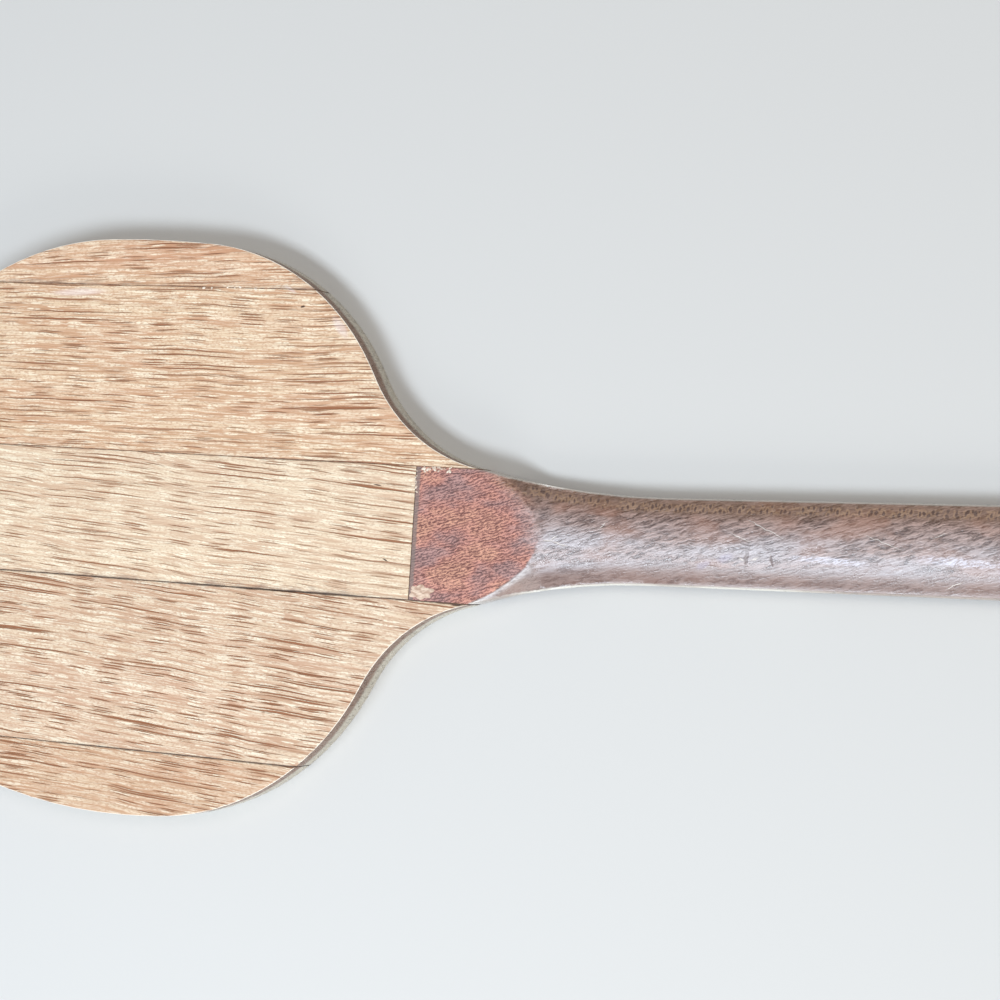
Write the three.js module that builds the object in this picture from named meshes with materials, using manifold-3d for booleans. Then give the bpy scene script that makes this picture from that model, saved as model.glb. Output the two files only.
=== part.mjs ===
// A wooden paddle bat. Five oak strips are glued edge to edge into a round head, and a
// mahogany handle is let into the centre strip's end, held by two hidden dowels.
// Millimetres. +X runs from the head to the butt, +Z out of the front face. The origin is
// the middle of the head, on its back face, and the handle's axis is the X axis.
import * as THREE from "three";
import { mergeVertices } from "three/addons/utils/BufferGeometryUtils.js";
import Module from "manifold-3d";

const wasm = await Module();
wasm.setup();

// Driving dimensions
const THICKNESS = 11; // the head, the tongue and the crown of the grip are all this thick
const GLUE_GAP = 0.3; // clearance between glued neighbours
const ARRIS = 0.5; // eased edge round both faces of the head
const STRIP_TURN = THREE.MathUtils.degToRad(-1.65); // the strips run slightly off the handle's axis

// Glue lines across the strips, measured from the origin square to them
const SEAM_OUTER_UPPER = 82.8;
const SEAM_INNER_UPPER = 25.5;
const SEAM_INNER_LOWER = -18.7;
const SEAM_OUTER_LOWER = -77.15;
const BUTT_JOINT = 111.8; // where the centre strip ends and the tongue begins, along the strips
const STRIP_REACH = 160; // past the head's outline on every side

// The outline, one side at a time: from the widest point, a run of tangent arcs goes to the
// tip of the head and another to the grip. Each arc is [radius, turn in degrees]; a hollow
// arc has a negative turn.
const UPPER_SIDE = {
  widest: [-7, 99],
  toTip: [[105.5, 90]],
  toGrip: [[372, 6.1], [79.4, 58.4], [55.2, -49.9], [263, -14.6]],
};
const LOWER_SIDE = {
  widest: [5.7, 100],
  toTip: [[190, 16.7], [89.25, 73.3]],
  toGrip: [[251, 3.3], [90.3, 59.1], [55.1, -44.6], [212, -17.8]],
};
const ARC_STEP = 3; // degrees between the outline's points
const HEAD_END = 150; // the head's solid runs this far, beyond the tips of its strips

// Handle
const BUTT_X = 330;
const BUTT_HALF_WIDTH = 14.5;
const BUTT_CORNER = 8; // corner radius in plan
const BUTT_EDGE = 3.5; // rounding of the end in thickness
const TONGUE_START = 100; // the lofted stock starts inside the centre strip and is cut back
const CROWN_RADIUS = 24; // across the grip
const FLAT_END = 156; // the tongue's flat runs out here, on the axis
const RUNOUT_UPPER = 0.58; // slope of the rounding where it meets the flat
const RUNOUT_LOWER = 0.44;
const SIDE_WALL = 0.8; // height of the plain band along the middle of each side
const SIDE_INSET = 1.2; // the grip's sides turn down this far inside its outline
const SIDE_BLEND_START = 138; // the eased edge grows into the rounded side between these
const SIDE_BLEND_END = 166;
const STATION_STEP = 3; // between sections in the neck
const GRIP_STATION_STEP = 14; // between sections along the plain grip
const BUTT_STEPS = 6; // sections through the rounded end
const CROWN_STEPS = 12; // across each face
const SIDE_STEPS = 4; // round each side

// Dowels
const DOWEL_RADIUS = 3;
const DOWEL_LENGTH = 40;
const DOWEL_FLUTES = 12;
const FLUTE_DEPTH = 0.25;
const DOWEL_CHAMFER = 0.8;
const DOWEL_SPACING = 22;
const TONGUE_MIDDLE = (SEAM_INNER_UPPER + SEAM_INNER_LOWER) / 2;

const oak = () => new THREE.MeshStandardMaterial({ color: 0xd9b88c, roughness: 0.62, metalness: 0 });
const mahogany = () => new THREE.MeshStandardMaterial({ color: 0x9a6250, roughness: 0.42, metalness: 0 });
const beech = () => new THREE.MeshStandardMaterial({ color: 0xdcbd92, roughness: 0.6, metalness: 0 });

// Solids

function solidFrom(geometry) {
  const bare = geometry.clone();
  bare.deleteAttribute("normal");
  bare.deleteAttribute("uv");
  const merged = mergeVertices(bare, 1e-4);
  const mesh = new wasm.Mesh({
    numProp: 3,
    vertProperties: Float32Array.from(merged.attributes.position.array),
    triVerts: Uint32Array.from(merged.index.array),
  });
  return new wasm.Manifold(mesh);
}

function geometryFrom(solid) {
  const mesh = solid.getMesh();
  const geometry = new THREE.BufferGeometry();
  geometry.setAttribute("position", new THREE.BufferAttribute(mesh.vertProperties, 3));
  geometry.setIndex(new THREE.BufferAttribute(mesh.triVerts, 1));
  geometry.computeVertexNormals();
  return geometry;
}

function namedMesh(name, geometry, material) {
  const mesh = new THREE.Mesh(geometry, material);
  mesh.name = name;
  return mesh;
}

// Outline

// Points along tangent arcs that start at the widest point, heading towards the grip
// (direction 1) or the tip (direction -1). The distance from the axis is kept positive.
function traceArcs([startX, startY], arcs, direction) {
  const points = [new THREE.Vector2(startX, startY)];
  let x = startX;
  let y = startY;
  let heading = 0;
  for (const [radius, turn] of arcs) {
    const sign = Math.sign(turn);
    const steps = Math.max(2, Math.ceil(Math.abs(turn) / ARC_STEP));
    const centreX = x - direction * sign * radius * Math.sin(heading);
    const centreY = y - sign * radius * Math.cos(heading);
    const total = THREE.MathUtils.degToRad(turn);
    for (let i = 1; i <= steps; i += 1) {
      const angle = heading + (total * i) / steps;
      x = centreX + direction * sign * radius * Math.sin(angle);
      y = centreY + sign * radius * Math.cos(angle);
      points.push(new THREE.Vector2(x, y));
    }
    heading += total;
  }
  return points;
}

// One whole side, from the tip to the butt's corner
function sideOutline(side) {
  const towardsTip = traceArcs(side.widest, side.toTip, -1).reverse();
  const towardsGrip = traceArcs(side.widest, side.toGrip, 1);
  const butt = new THREE.Vector2(BUTT_X, BUTT_HALF_WIDTH);
  return [...towardsTip, ...towardsGrip.slice(1), butt];
}

const upperOutline = sideOutline(UPPER_SIDE);
const lowerOutline = sideOutline(LOWER_SIDE);

// Distance of an outline from the axis at x, right of the widest point
function halfWidthAt(outline, x) {
  for (let i = outline.length - 1; i > 0; i -= 1) {
    const before = outline[i - 1];
    const after = outline[i];
    if (x >= before.x) {
      const t = Math.min(1, (x - before.x) / (after.x - before.x));
      return before.y + t * (after.y - before.y);
    }
  }
  throw new Error(`no outline at ${x}`);
}

// Head

function headSolid() {
  const upper = upperOutline.filter((point) => point.x < HEAD_END);
  const lower = lowerOutline.filter((point) => point.x < HEAD_END).slice(1);
  const shape = new THREE.Shape(upper);
  shape.lineTo(HEAD_END, halfWidthAt(upperOutline, HEAD_END));
  shape.lineTo(HEAD_END, -halfWidthAt(lowerOutline, HEAD_END));
  for (const point of lower.reverse()) shape.lineTo(point.x, -point.y);
  shape.closePath();
  const geometry = new THREE.ExtrudeGeometry(shape, {
    depth: THICKNESS - 2 * ARRIS,
    bevelEnabled: true,
    bevelThickness: ARRIS,
    bevelSize: ARRIS,
    bevelOffset: -ARRIS,
    bevelSegments: 2,
  });
  geometry.translate(0, 0, ARRIS);
  return solidFrom(geometry);
}

// A box between two glue lines, in the strips' turned frame
function stripSolid(fromX, toX, fromY, toY) {
  const geometry = new THREE.BoxGeometry(toX - fromX, toY - fromY, 3 * THICKNESS);
  geometry.translate((fromX + toX) / 2, (fromY + toY) / 2, THICKNESS / 2);
  geometry.rotateZ(STRIP_TURN);
  return solidFrom(geometry);
}

// Dowels and their holes

const dowelOffsets = [TONGUE_MIDDLE + DOWEL_SPACING / 2, TONGUE_MIDDLE - DOWEL_SPACING / 2];

// Puts geometry made along Z, centred on the origin, across the butt joint
function placeAtJoint(geometry, offset) {
  geometry.rotateY(Math.PI / 2);
  geometry.translate(BUTT_JOINT, offset, THICKNESS / 2);
  geometry.rotateZ(STRIP_TURN);
  return geometry;
}

function dowelHole(offset) {
  const radius = DOWEL_RADIUS + GLUE_GAP;
  const hole = new THREE.CylinderGeometry(radius, radius, DOWEL_LENGTH + 2 * GLUE_GAP, 24);
  hole.rotateX(Math.PI / 2);
  return solidFrom(placeAtJoint(hole, offset));
}

function flutedDowel(offset) {
  const section = new THREE.Shape();
  const pointsPerFlute = 4;
  const count = DOWEL_FLUTES * pointsPerFlute;
  for (let i = 0; i < count; i += 1) {
    const angle = (2 * Math.PI * i) / count;
    const radius = i % pointsPerFlute === 0 ? DOWEL_RADIUS - FLUTE_DEPTH : DOWEL_RADIUS;
    const x = radius * Math.cos(angle);
    const y = radius * Math.sin(angle);
    if (i === 0) section.moveTo(x, y);
    else section.lineTo(x, y);
  }
  section.closePath();
  const depth = DOWEL_LENGTH - 2 * DOWEL_CHAMFER;
  const geometry = new THREE.ExtrudeGeometry(section, {
    depth,
    bevelEnabled: true,
    bevelThickness: DOWEL_CHAMFER,
    bevelSize: DOWEL_CHAMFER,
    bevelOffset: -DOWEL_CHAMFER,
    bevelSegments: 1,
  });
  geometry.translate(0, 0, -depth / 2);
  return placeAtJoint(geometry, offset);
}

// Handle

// How far a rounded corner of a given radius pulls in, at a distance from the end
function cornerInset(distance, radius) {
  if (distance >= radius) return 0;
  return radius - Math.sqrt(radius * radius - (radius - distance) ** 2);
}

// Height of the front over the middle plane: a flat tongue that runs out into a round crown
function crownHeight(x, y, halfThickness) {
  const slope = y > 0 ? RUNOUT_UPPER : RUNOUT_LOWER;
  const lift = slope * Math.max(0, FLAT_END - x);
  return halfThickness + Math.min(0, lift - (y * y) / (2 * CROWN_RADIUS));
}

// One section of the handle, anticlockwise as seen from the head
function handleSection(x) {
  const fromEnd = BUTT_X - x;
  const cornerPull = cornerInset(fromEnd, BUTT_CORNER);
  const upper = halfWidthAt(upperOutline, x) - cornerPull;
  const lower = halfWidthAt(lowerOutline, x) - cornerPull;
  const halfThickness = THICKNESS / 2 - cornerInset(fromEnd, BUTT_EDGE);
  const blend = THREE.MathUtils.smoothstep(x, SIDE_BLEND_START, SIDE_BLEND_END);
  const inset = THREE.MathUtils.lerp(ARRIS, SIDE_INSET, blend);
  const half = [];
  for (let i = 0; i <= CROWN_STEPS; i += 1) {
    const y = THREE.MathUtils.lerp(upper - inset, inset - lower, i / CROWN_STEPS);
    half.push([y, crownHeight(x, y, halfThickness)]);
  }
  // each side eases from the face's edge into a wall that stands square to the faces
  const upperEdge = half[0];
  const lowerEdge = half[CROWN_STEPS];
  const easeDepth = (z) => THREE.MathUtils.lerp(ARRIS, z - SIDE_WALL / 2, blend);
  for (let i = 1; i <= SIDE_STEPS; i += 1) {
    const angle = (Math.PI / 2) * (i / SIDE_STEPS);
    const out = inset * Math.sin(angle);
    const down = 1 - Math.cos(angle);
    half.unshift([upperEdge[0] + out, upperEdge[1] - down * easeDepth(upperEdge[1])]);
    half.push([lowerEdge[0] - out, lowerEdge[1] - down * easeDepth(lowerEdge[1])]);
  }
  const back = half.map(([y, z]) => [y, -z]).reverse();
  return [...half, ...back].map(([y, z]) => new THREE.Vector3(x, y, z + THICKNESS / 2));
}

function handleStations() {
  const stations = [];
  const neckEnd = upperOutline[upperOutline.length - 2].x;
  for (let x = TONGUE_START; x < neckEnd; x += STATION_STEP) stations.push(x);
  const roundStart = BUTT_X - BUTT_CORNER;
  const gripSteps = Math.ceil((roundStart - neckEnd) / GRIP_STATION_STEP);
  for (let i = 0; i < gripSteps; i += 1) {
    stations.push(THREE.MathUtils.lerp(neckEnd, roundStart, i / gripSteps));
  }
  for (let i = 0; i <= BUTT_STEPS; i += 1) {
    stations.push(roundStart + BUTT_CORNER * Math.sin((Math.PI / 2) * (i / BUTT_STEPS)));
  }
  return stations;
}

// A closed body through rings with equally many points, closed by a fan at each end
function loftSolid(rings) {
  const size = rings[0].length;
  const points = rings.flat();
  const faces = [];
  for (let ring = 0; ring < rings.length - 1; ring += 1) {
    const here = ring * size;
    const beyond = here + size;
    for (let i = 0; i < size; i += 1) {
      const next = (i + 1) % size;
      faces.push(here + i, here + next, beyond + next);
      faces.push(here + i, beyond + next, beyond + i);
    }
  }
  const lastRing = (rings.length - 1) * size;
  const headCentre = points.length;
  const buttCentre = headCentre + 1;
  const middle = (ring) => {
    const sum = ring.reduce((total, point) => total.add(point), new THREE.Vector3());
    return sum.divideScalar(size);
  };
  points.push(middle(rings[0]), middle(rings[rings.length - 1]));
  for (let i = 0; i < size; i += 1) {
    const next = (i + 1) % size;
    faces.push(headCentre, next, i);
    faces.push(buttCentre, lastRing + i, lastRing + next);
  }
  const geometry = new THREE.BufferGeometry().setFromPoints(points);
  geometry.setIndex(faces);
  return solidFrom(geometry);
}

// Assembly

const head = headSolid();
const holes = dowelOffsets.map(dowelHole);

function boreForDowels(solid) {
  return holes.reduce((remaining, hole) => remaining.subtract(hole), solid);
}

// The room between two glue lines, less half a glue gap at each
function roomBetween(lowerSeam, upperSeam, startX, endX) {
  const halfGap = GLUE_GAP / 2;
  return stripSolid(startX, endX, lowerSeam + halfGap, upperSeam - halfGap);
}

function headStrip(name, lowerSeam, upperSeam, endX = STRIP_REACH) {
  const room = roomBetween(lowerSeam, upperSeam, -STRIP_REACH, endX);
  return namedMesh(name, geometryFrom(boreForDowels(head.intersect(room))), oak());
}

function handle() {
  const stock = loftSolid(handleStations().map(handleSection));
  const startX = BUTT_JOINT + GLUE_GAP / 2;
  const endX = BUTT_X + STRIP_REACH;
  const room = roomBetween(SEAM_INNER_LOWER, SEAM_INNER_UPPER, startX, endX);
  return namedMesh("handle", geometryFrom(boreForDowels(stock.intersect(room))), mahogany());
}

const paddle = new THREE.Group();
paddle.name = "paddle";
paddle.add(headStrip("strip_outer_upper", SEAM_OUTER_UPPER, STRIP_REACH));
paddle.add(headStrip("strip_inner_upper", SEAM_INNER_UPPER, SEAM_OUTER_UPPER));
const centreEndX = BUTT_JOINT - GLUE_GAP / 2;
paddle.add(headStrip("strip_centre", SEAM_INNER_LOWER, SEAM_INNER_UPPER, centreEndX));
paddle.add(headStrip("strip_inner_lower", SEAM_OUTER_LOWER, SEAM_INNER_LOWER));
paddle.add(headStrip("strip_outer_lower", -STRIP_REACH, SEAM_OUTER_LOWER));
paddle.add(handle());
paddle.add(namedMesh("dowel_upper", flutedDowel(dowelOffsets[0]), beech()));
paddle.add(namedMesh("dowel_lower", flutedDowel(dowelOffsets[1]), beech()));

export default paddle;
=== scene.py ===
import math
import random

import bmesh
import bpy
from mathutils import Matrix, Vector, noise


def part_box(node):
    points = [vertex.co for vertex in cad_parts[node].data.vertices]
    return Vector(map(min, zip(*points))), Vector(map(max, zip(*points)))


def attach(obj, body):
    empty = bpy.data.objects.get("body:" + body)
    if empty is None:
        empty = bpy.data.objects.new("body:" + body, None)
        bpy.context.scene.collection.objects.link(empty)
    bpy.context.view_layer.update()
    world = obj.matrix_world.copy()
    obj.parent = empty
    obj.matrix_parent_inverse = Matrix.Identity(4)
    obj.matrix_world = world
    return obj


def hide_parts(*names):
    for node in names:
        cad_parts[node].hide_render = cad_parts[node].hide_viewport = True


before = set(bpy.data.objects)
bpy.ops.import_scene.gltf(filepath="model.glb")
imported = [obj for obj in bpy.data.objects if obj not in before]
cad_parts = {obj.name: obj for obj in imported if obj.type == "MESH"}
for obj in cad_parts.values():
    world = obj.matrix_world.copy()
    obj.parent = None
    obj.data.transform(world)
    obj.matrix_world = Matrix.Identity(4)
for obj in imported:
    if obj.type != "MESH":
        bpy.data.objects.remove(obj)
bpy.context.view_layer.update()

MM = 0.001
STRIP_TURN = math.radians(-1.65)  # the strips run slightly off the handle's axis
ALONG = Vector((math.cos(STRIP_TURN), math.sin(STRIP_TURN), 0))
ACROSS = Vector((-math.sin(STRIP_TURN), math.cos(STRIP_TURN), 0))
UP = Vector((0, 0, 1))
STRIPS = (
    "strip_outer_upper",
    "strip_inner_upper",
    "strip_centre",
    "strip_inner_lower",
    "strip_outer_lower",
)
FACE_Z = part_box("strip_centre")[1].z
THICKNESS = FACE_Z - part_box("strip_centre")[0].z
MIDDLE_Z = FACE_Z - THICKNESS / 2
GLUE_GAP = 0.3 * MM
FACE_TILT = 0.9  # a normal's z is over this on a face
WALL_TILT = 0.4  # and under this on a wall


def reach_of(node, direction):
    """The lowest and highest offset of a CAD node along a direction."""
    offsets = [vert.co.dot(direction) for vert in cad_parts[node].data.vertices]
    return min(offsets), max(offsets)


# the four glue lines between the strips, as offsets across them, and the butt joint
SEAMS = [
    (reach_of(upper, ACROSS)[0] + reach_of(lower, ACROSS)[1]) / 2
    for upper, lower in zip(STRIPS, STRIPS[1:])
]
JOINT_U = reach_of("strip_centre", ALONG)[1]


# ---------------------------------------------------------------- camera and light

# CAMERA_BACK points from the object to the camera
CAMERA_AT = Vector((469.7, -9.3, 788.6)) * MM
CAMERA_BACK = Vector((0.3876, -0.0250, 0.9215))
CAMERA_UP = Vector((-0.0404, 1, 0))
FOCAL_LENGTH = 93.6
SENSOR_WIDTH = 36
FLOOR_DROP = 0.02 * MM  # keeps the floor clear of the back face
FLOOR_REACH = 3
FLOOR_GREY = (0.62, 0.62, 0.61, 1)
FLOOR_ROUGHNESS = 0.85
SKY_COLOUR = (0.92, 0.95, 1, 1)
SKY_STRENGTH = 0.36

# each light's place, the point it faces, its two sides, its power in watts and its colour
LIGHTS = {
    "overhead": ((0.55, 0.35, 1.5), (0.06, 0, 0), (0.9, 0.9), 8, (1, 0.93, 0.84)),
    "window": ((-0.13, -0.56, 1.05), (0.23, 0, 0), (0.95, 0.3), 12, (0.82, 0.91, 1)),
    "fill": ((0.45, -0.9, 0.4), (0.06, 0, 0), (0.7, 0.3), 3, (1, 0.98, 0.94)),
}


def make_camera():
    data = bpy.data.cameras.new("camera")
    data.lens = FOCAL_LENGTH
    data.sensor_width = SENSOR_WIDTH
    camera = bpy.data.objects.new("camera", data)
    bpy.context.scene.collection.objects.link(camera)
    back = CAMERA_BACK.normalized()
    right = CAMERA_UP.cross(back).normalized()
    up = back.cross(right)
    turn = Matrix((right, up, back)).transposed()
    camera.matrix_world = Matrix.Translation(CAMERA_AT) @ turn.to_4x4()
    bpy.context.scene.camera = camera


def area_light(name, at, target, size, power, colour):
    data = bpy.data.lights.new(name, "AREA")
    data.shape = "RECTANGLE"
    data.size, data.size_y = size
    data.energy = power
    data.color = colour
    light = bpy.data.objects.new(name, data)
    light.location = at
    light.rotation_euler = (Vector(target) - Vector(at)).to_track_quat("-Z", "Y").to_euler()
    bpy.context.scene.collection.objects.link(light)


def make_studio():
    """A warm light overhead and a long cool window, which the grip's gloss mirrors."""
    for name, (at, target, size, power, colour) in LIGHTS.items():
        area_light(name, at, target, size, power, colour)
    world = bpy.data.worlds.new("studio")
    world.use_nodes = True
    sky = world.node_tree.nodes["Background"]
    sky.inputs["Color"].default_value = SKY_COLOUR
    sky.inputs["Strength"].default_value = SKY_STRENGTH
    bpy.context.scene.world = world
    bpy.context.scene.view_settings.view_transform = "Standard"


def make_floor():
    mesh = bpy.data.meshes.new("floor")
    work = bmesh.new()
    bmesh.ops.create_grid(work, x_segments=1, y_segments=1, size=FLOOR_REACH)
    work.to_mesh(mesh)
    work.free()
    floor = bpy.data.objects.new("floor", mesh)
    floor.location.z = -FLOOR_DROP
    bpy.context.scene.collection.objects.link(floor)
    material = bpy.data.materials.new("floor")
    material.use_nodes = True
    shader = material.node_tree.nodes["Principled BSDF"]
    shader.inputs["Base Color"].default_value = FLOOR_GREY
    shader.inputs["Roughness"].default_value = FLOOR_ROUGHNESS
    mesh.materials.append(material)


# ---------------------------------------------------------------- node helpers

MARKS_FADE = (5, 7)  # marks fade in between these heights, so the back has none


class Graph:
    """A short way to write a material's nodes."""

    def __init__(self, name):
        self.material = bpy.data.materials.new(name)
        self.material.use_nodes = True
        self.tree = self.material.node_tree
        self.shader = self.tree.nodes["Principled BSDF"]

    def put(self, socket, value):
        if isinstance(value, bpy.types.NodeSocket):
            self.tree.links.new(value, socket)
        elif value is not None:
            socket.default_value = value

    def finish(self, colour, roughness, height, depth):
        """Wires the shader; depth is the bump's depth in millimetres."""
        self.put(self.shader.inputs["Base Color"], colour)
        self.put(self.shader.inputs["Roughness"], roughness)
        node = self.tree.nodes.new("ShaderNodeBump")
        self.put(node.inputs["Height"], height)
        node.inputs["Distance"].default_value = depth * MM
        self.put(self.shader.inputs["Normal"], node.outputs[0])
        return self.material

    def math(self, operation, a, b=None, c=None):
        node = self.tree.nodes.new("ShaderNodeMath")
        node.operation = operation
        for socket, value in zip(node.inputs, (a, b, c)):
            self.put(socket, value)
        return node.outputs[0]

    def times(self, a, b):
        return self.math("MULTIPLY", a, b)

    def minus(self, a, b):
        return self.math("SUBTRACT", a, b)

    def position(self):
        """The point on the object, in millimetres."""
        at = self.tree.nodes.new("ShaderNodeTexCoord").outputs["Object"]
        return self.mapping(at, scale=(1 / MM, 1 / MM, 1 / MM))

    def mapping(self, vector, shift=(0, 0, 0), turn=0.0, scale=(1, 1, 1)):
        node = self.tree.nodes.new("ShaderNodeMapping")
        self.put(node.inputs["Vector"], vector)
        node.inputs["Location"].default_value = shift
        node.inputs["Rotation"].default_value = (0, 0, turn)
        node.inputs["Scale"].default_value = scale
        return node.outputs[0]

    def noise(self, vector, size, detail=3.0, roughness=0.5, distortion=0.0, colour=False):
        """Noise whose spots have the given size in millimetres along each axis."""
        node = self.tree.nodes.new("ShaderNodeTexNoise")
        scale = tuple(1 / side for side in size)
        self.put(node.inputs["Vector"], self.mapping(vector, scale=scale))
        node.inputs["Scale"].default_value = 1
        node.inputs["Detail"].default_value = detail
        node.inputs["Roughness"].default_value = roughness
        node.inputs["Distortion"].default_value = distortion
        return node.outputs["Color" if colour else "Fac"]

    def cells(self, vector, size, flat=False):
        """Distance to the nearest cell's middle, and that cell's random number."""
        node = self.tree.nodes.new("ShaderNodeTexVoronoi")
        node.voronoi_dimensions = "2D" if flat else "3D"
        scale = tuple(1 / side for side in size)
        self.put(node.inputs["Vector"], self.mapping(vector, scale=scale))
        node.inputs["Scale"].default_value = 1
        return node.outputs["Distance"], self.separate(node.outputs["Color"])[0]

    def dashes(self, vector, size, share):
        """Long thin spots of the given size, in a share of the cells."""
        distance, number = self.cells(vector, size)
        spot = self.band(distance, 0.2, 0.4, 1, 0)
        return self.times(spot, self.math("LESS_THAN", number, share))

    def band(self, value, low, high, to_low=0.0, to_high=1.0):
        """A smooth step from to_low at low to to_high at high."""
        node = self.tree.nodes.new("ShaderNodeMapRange")
        node.interpolation_type = "SMOOTHSTEP"
        self.put(node.inputs["Value"], value)
        node.inputs["From Min"].default_value = low
        node.inputs["From Max"].default_value = high
        node.inputs["To Min"].default_value = to_low
        node.inputs["To Max"].default_value = to_high
        return node.outputs["Result"]

    def mix(self, factor, a, b):
        node = self.tree.nodes.new("ShaderNodeMix")
        node.data_type = "RGBA"
        self.put(node.inputs[0], factor)
        for socket, value in ((node.inputs[6], a), (node.inputs[7], b)):
            if isinstance(value, tuple):
                value = (*value, 1)
            self.put(socket, value)
        return node.outputs[2]

    def warp(self, vector, amount, size):
        """Moves a position by a noise; amount is in millimetres along each axis."""
        shift = self.tree.nodes.new("ShaderNodeVectorMath")
        shift.operation = "MULTIPLY_ADD"
        self.put(shift.inputs[0], self.noise(vector, (size, size, size), 2, colour=True))
        shift.inputs[1].default_value = amount
        self.put(shift.inputs[2], vector)
        return shift.outputs[0]

    def separate(self, vector):
        node = self.tree.nodes.new("ShaderNodeSeparateXYZ")
        self.put(node.inputs[0], vector)
        return node.outputs[0], node.outputs[1], node.outputs[2]

    def attribute(self, name):
        node = self.tree.nodes.new("ShaderNodeAttribute")
        node.attribute_name = name
        return node.outputs["Fac"]

    def mark(self, here, start, end, width):
        """A straight mark between two points of the face, tapering at its ends."""
        start, end = Vector(start), Vector(end)
        way = end - start
        turn = math.atan2(way.y, way.x)
        middle = (start + end) / 2
        moved = self.mapping(here, shift=(-middle.x, -middle.y, 0))
        scale = (2 / way.length, 2 / width, 0)
        local = self.mapping(self.mapping(moved, turn=-turn), scale=scale)
        node = self.tree.nodes.new("ShaderNodeVectorMath")
        node.operation = "LENGTH"
        self.put(node.inputs[0], local)
        return self.band(node.outputs["Value"], 0.35, 1, 1, 0)

    def marks(self, here, places):
        """The strongest of several marks on the front, each a start, an end and a width."""
        found = 0.0
        for start, end, width in places:
            found = self.math("MAXIMUM", self.mark(here, start, end, width), found)
        return self.times(found, self.band(self.separate(here)[2], *MARKS_FADE))

    def combine(self, x, y):
        node = self.tree.nodes.new("ShaderNodeCombineXYZ")
        self.put(node.inputs[0], x)
        self.put(node.inputs[1], y)
        return node.outputs[0]


def srgb(red, green, blue):
    """A colour given as 0 to 255 screen values, as linear light."""

    def linear(value):
        value /= 255
        return value / 12.92 if value <= 0.04045 else ((value + 0.055) / 1.055) ** 2.4

    return linear(red), linear(green), linear(blue)


# ---------------------------------------------------------------- oak

OAK_CREAM = srgb(250, 234, 208)
OAK_PALE = srgb(230, 202, 170)
OAK_TAN = srgb(202, 158, 124)
OAK_LINE = srgb(156, 102, 68)
OAK_PINK = srgb(206, 152, 122)
OAK_CRACK = srgb(84, 58, 44)
WALL_BROWN = srgb(128, 96, 78)
# painted reflection colour for the wall's lower part
WALL_REFLECTION_GREY = srgb(204, 198, 182)
# painted highlight colour for the wall's corner
ARRIS_HIGHLIGHT = srgb(252, 244, 230)
SCUFF_PALE = srgb(240, 226, 226)
SEAM_DIRT = srgb(78, 62, 54)
SEAM_STAIN = srgb(150, 126, 112)

# sizes of the grain's parts along, across and through the strip, in millimetres
ROW_SIZE = (46, 1.4, 3.3)
FIBRE_SIZE = (11, 0.42, 0.8)
PATCH_SIZE = (90, 9, 16)
VESSEL_SIZE = (56, 0.75, 4)
SHORT_VESSEL_SIZE = (16, 0.62, 3)
FLECK_SIZE = (22, 1.0, 4)
CHIP_SIZE = (9, 0.9, 3)
GRIT_SIZE = (1.2, 0.5, 0.8)
RAGGED_SIZE = (5, 1.6, 1.6)
GLUE_LAPSE_SIZE = (45, 400, 400)
WALL_LEVEL_SIZE = (20, 20, 20)
OAK_BUMP = 0.4

# short dark checks in the face, each from a point to a point, and its width
OAK_CHECKS = (
    ((67.0, 74.9), (69.2, 75.3), 0.8),
    ((96.6, 16.0), (100.4, 15.4), 0.5),
    ((101.2, -8.4), (103.4, -9.6), 0.6),
    ((125.5, -22.5), (131.5, -23.0), 1.3),
)

# rubbed pale places near the head's edge
OAK_SCUFFS = (
    ((79.0, 72.5), (86.0, 63.5), 4.6),
    ((60.0, 82.5), (66.0, 79.5), 1.6),
    ((-34.0, 80.2), (-6.0, 80.9), 3.4),
)

# for each strip: the grain's slope in degrees, a shift through the tree, warmth, contrast,
# and a tint with its strength
GRAIN = {
    "strip_outer_upper": (3.0, (40, 310, 0), 0.5, 1.2, (srgb(168, 104, 60), 0.13)),
    "strip_inner_upper": (0.3, (210, 35, 12), 0.35, 1.3, (srgb(150, 132, 100), 0.08)),
    "strip_centre": (-3.5, (-90, 140, 30), 0.15, 1.2, (srgb(220, 218, 198), 0.24)),
    "strip_inner_lower": (-3.6, (330, -60, 44), 0.3, 1.7, (srgb(150, 154, 150), 0.16)),
    "strip_outer_lower": (-3.0, (-240, 90, 57), 0.5, 1.5, (srgb(150, 112, 84), 0.28)),
}

# the glue line at each strip's upper and lower side: its offset, how dirty it is, and how
# stained the strip is beside it. The outer strips have none on their outer side.
NO_LINE = (1.0, 0, 0)
LINES_ABOVE = [NO_LINE] + [
    (seam, dirt, stain)
    for seam, dirt, stain in zip(SEAMS, (0.3, 0.45, 0.9, 0.5), (0.0, 0.0, 0.1, 0.0))
]
LINES_BELOW = [
    (seam, dirt, stain)
    for seam, dirt, stain in zip(SEAMS, (0.4, 0.4, 0.9, 0.5), (0.45, 0.1, 0.6, 0.1))
] + [NO_LINE]


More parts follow.
